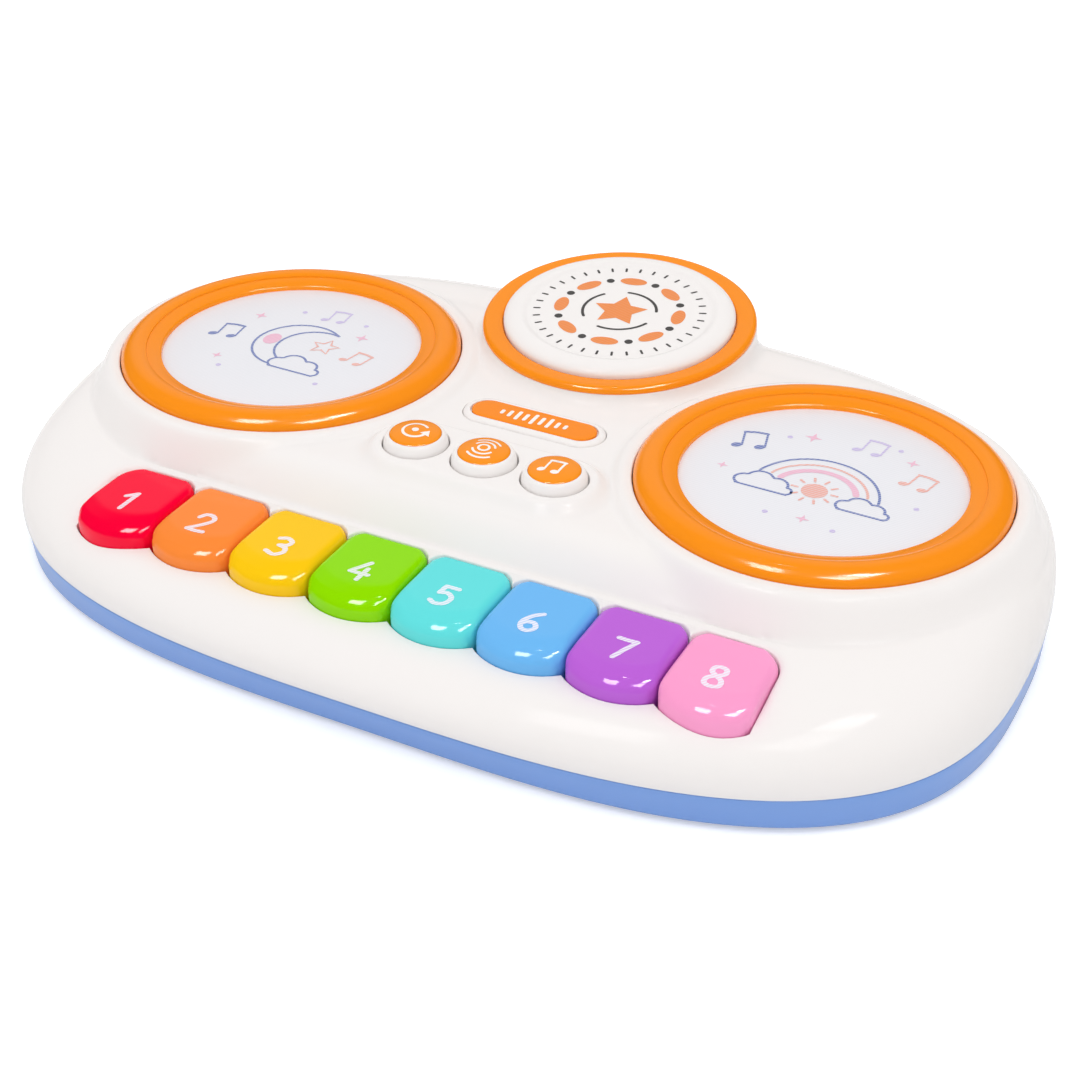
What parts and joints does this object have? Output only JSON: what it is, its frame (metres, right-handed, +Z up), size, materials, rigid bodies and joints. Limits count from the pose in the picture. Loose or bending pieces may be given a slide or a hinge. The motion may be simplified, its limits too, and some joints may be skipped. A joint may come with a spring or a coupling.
{
  "type": "toy keyboard",
  "caption": "Battery toy keyboard for small children: rainbow piano keys, drum pads with orange hoops, push buttons and a tilted turning disc on a rounded white case.",
  "frame": {"origin": "on the ground, below the middle of the outline", "axes": "+X to the player's right along the keys, +Y from the player to the disc, +Z up"},
  "size_m": [0.299, 0.2016, 0.058],
  "materials": {
    "white_plastic": "glossy moulded plastic, off-white",
    "blue_plastic": "satin moulded plastic, periwinkle blue",
    "orange_plastic": "glossy moulded plastic, orange",
    "drum_sheet": "translucent printed sheet with a fine texture",
    "steel": "zinc plated",
    "circuit_board": "green solder mask",
    "silicone": "matt translucent silicone",
    "grey_plastic": "plain moulded plastic",
    "black_plastic": "plain moulded plastic",
    "foot_rubber": "matt soft rubber",
    "paper_cone": "pressed paper cone",
    "led_lens": "clear diffused lens",
    "battery_jacket": "printed jacket without words",
    "key_red": "glossy moulded plastic",
    "key_orange": "glossy moulded plastic",
    "key_yellow": "glossy moulded plastic",
    "key_green": "glossy moulded plastic",
    "key_turquoise": "glossy moulded plastic",
    "key_blue": "glossy moulded plastic",
    "key_purple": "glossy moulded plastic",
    "key_pink": "glossy moulded plastic"
  },
  "bodies": {
    "case": {"top_shell": "white_plastic", "base_shell": "blue_plastic", "battery_door": "blue_plastic", "disc_ring": "orange_plastic", "door_screw": "steel", "case_screws": "steel", "carrier_screws": "steel", "light_board_screws": "steel", "board_screws": "steel", "key_rod": "steel", "speaker_magnet": "steel", "battery_contacts": "steel", "left_drum_springs": "steel", "right_drum_springs": "steel", "key_board": "circuit_board", "main_board": "circuit_board", "disc_sensor_board": "circuit_board", "left_light_board": "circuit_board", "right_light_board": "circuit_board", "key_dome_strip": "silicone", "button_mat": "silicone", "key_carrier": "grey_plastic", "disc_bush": "grey_plastic", "speaker_frame": "black_plastic", "switch_body": "black_plastic", "rubber_feet": "foot_rubber", "speaker_cone": "paper_cone", "left_leds": "led_lens", "right_leds": "led_lens", "batteries": "battery_jacket"},
    "red_key": {"key_red": "key_red"},
    "orange_key": {"key_orange": "key_orange"},
    "yellow_key": {"key_yellow": "key_yellow"},
    "green_key": {"key_green": "key_green"},
    "turquoise_key": {"key_turquoise": "key_turquoise"},
    "blue_key": {"key_blue": "key_blue"},
    "purple_key": {"key_purple": "key_purple"},
    "pink_key": {"key_pink": "key_pink"},
    "left_drum": {"left_drum_ring": "orange_plastic", "left_drum_head": "drum_sheet", "left_drum_plate": "white_plastic"},
    "right_drum": {"right_drum_ring": "orange_plastic", "right_drum_head": "drum_sheet", "right_drum_plate": "white_plastic"},
    "disc": {"disc_plate": "white_plastic", "disc_code_wheel": "black_plastic", "disc_screw": "steel"},
    "left_push": {"left_button": "white_plastic", "left_button_cap": "orange_plastic"},
    "centre_push": {"centre_button": "white_plastic", "centre_button_cap": "orange_plastic"},
    "right_push": {"right_button": "white_plastic", "right_button_cap": "orange_plastic"},
    "music_push": {"music_button": "white_plastic", "music_button_insert": "orange_plastic"},
    "power_knob": {"switch_knob": "black_plastic"}
  },
  "joints": [
    {"name": "red_key_hinge", "type": "hinge", "parent": "case", "child": "red_key", "pos_m": [-0.0875, -0.0466, 0.0275], "axis": [1, 0, 0], "range_deg": [0, 4], "stiffness_Nm_per_rad": 0.3, "springref_deg": -0.57, "deforming": ["key_dome_strip"]},
    {"name": "orange_key_hinge", "type": "hinge", "parent": "case", "child": "orange_key", "pos_m": [-0.0625, -0.0466, 0.0275], "axis": [1, 0, 0], "range_deg": [0, 4], "stiffness_Nm_per_rad": 0.3, "springref_deg": -0.57, "deforming": ["key_dome_strip"]},
    {"name": "yellow_key_hinge", "type": "hinge", "parent": "case", "child": "yellow_key", "pos_m": [-0.0375, -0.0466, 0.0275], "axis": [1, 0, 0], "range_deg": [0, 4], "stiffness_Nm_per_rad": 0.3, "springref_deg": -0.57, "deforming": ["key_dome_strip"]},
    {"name": "green_key_hinge", "type": "hinge", "parent": "case", "child": "green_key", "pos_m": [-0.0125, -0.0466, 0.0275], "axis": [1, 0, 0], "range_deg": [0, 4], "stiffness_Nm_per_rad": 0.3, "springref_deg": -0.57, "deforming": ["key_dome_strip"]},
    {"name": "turquoise_key_hinge", "type": "hinge", "parent": "case", "child": "turquoise_key", "pos_m": [0.0125, -0.0466, 0.0275], "axis": [1, 0, 0], "range_deg": [0, 4], "stiffness_Nm_per_rad": 0.3, "springref_deg": -0.57, "deforming": ["key_dome_strip"]},
    {"name": "blue_key_hinge", "type": "hinge", "parent": "case", "child": "blue_key", "pos_m": [0.0375, -0.0466, 0.0275], "axis": [1, 0, 0], "range_deg": [0, 4], "stiffness_Nm_per_rad": 0.3, "springref_deg": -0.57, "deforming": ["key_dome_strip"]},
    {"name": "purple_key_hinge", "type": "hinge", "parent": "case", "child": "purple_key", "pos_m": [0.0625, -0.0466, 0.0275], "axis": [1, 0, 0], "range_deg": [0, 4], "stiffness_Nm_per_rad": 0.3, "springref_deg": -0.57, "deforming": ["key_dome_strip"]},
    {"name": "pink_key_hinge", "type": "hinge", "parent": "case", "child": "pink_key", "pos_m": [0.0875, -0.0466, 0.0275], "axis": [1, 0, 0], "range_deg": [0, 4], "stiffness_Nm_per_rad": 0.3, "springref_deg": -0.57, "deforming": ["key_dome_strip"]},
    {"name": "left_drum_slide", "type": "slide", "parent": "case", "child": "left_drum", "axis": [0, 0, -1], "range_m": [0, 0.002], "stiffness_N_per_m": 1500, "springref_m": -0.001, "deforming": ["left_drum_springs"]},
    {"name": "right_drum_slide", "type": "slide", "parent": "case", "child": "right_drum", "axis": [0, 0, -1], "range_m": [0, 0.002], "stiffness_N_per_m": 1500, "springref_m": -0.001, "deforming": ["right_drum_springs"]},
    {"name": "disc_spin", "type": "hinge", "parent": "case", "child": "disc", "pos_m": [0, 0.0576, 0.0505], "axis": [0, -0.0698, 0.9976], "continuous": true},
    {"name": "left_button_slide", "type": "slide", "parent": "case", "child": "left_push", "axis": [0, 0, -1], "range_m": [0, 0.0016], "stiffness_N_per_m": 600, "springref_m": -0.0005, "deforming": ["button_mat"]},
    {"name": "centre_button_slide", "type": "slide", "parent": "case", "child": "centre_push", "axis": [0, 0, -1], "range_m": [0, 0.0016], "stiffness_N_per_m": 600, "springref_m": -0.0005, "deforming": ["button_mat"]},
    {"name": "right_button_slide", "type": "slide", "parent": "case", "child": "right_push", "axis": [0, 0, -1], "range_m": [0, 0.0016], "stiffness_N_per_m": 600, "springref_m": -0.0005, "deforming": ["button_mat"]},
    {"name": "music_button_slide", "type": "slide", "parent": "case", "child": "music_push", "axis": [0, 0, -1], "range_m": [0, 0.0016], "stiffness_N_per_m": 600, "springref_m": -0.0005, "deforming": ["button_mat"]},
    {"name": "power_switch_slide", "type": "slide", "parent": "case", "child": "power_knob", "axis": [1, 0, 0], "range_m": [0, 0.008]}
  ]
}
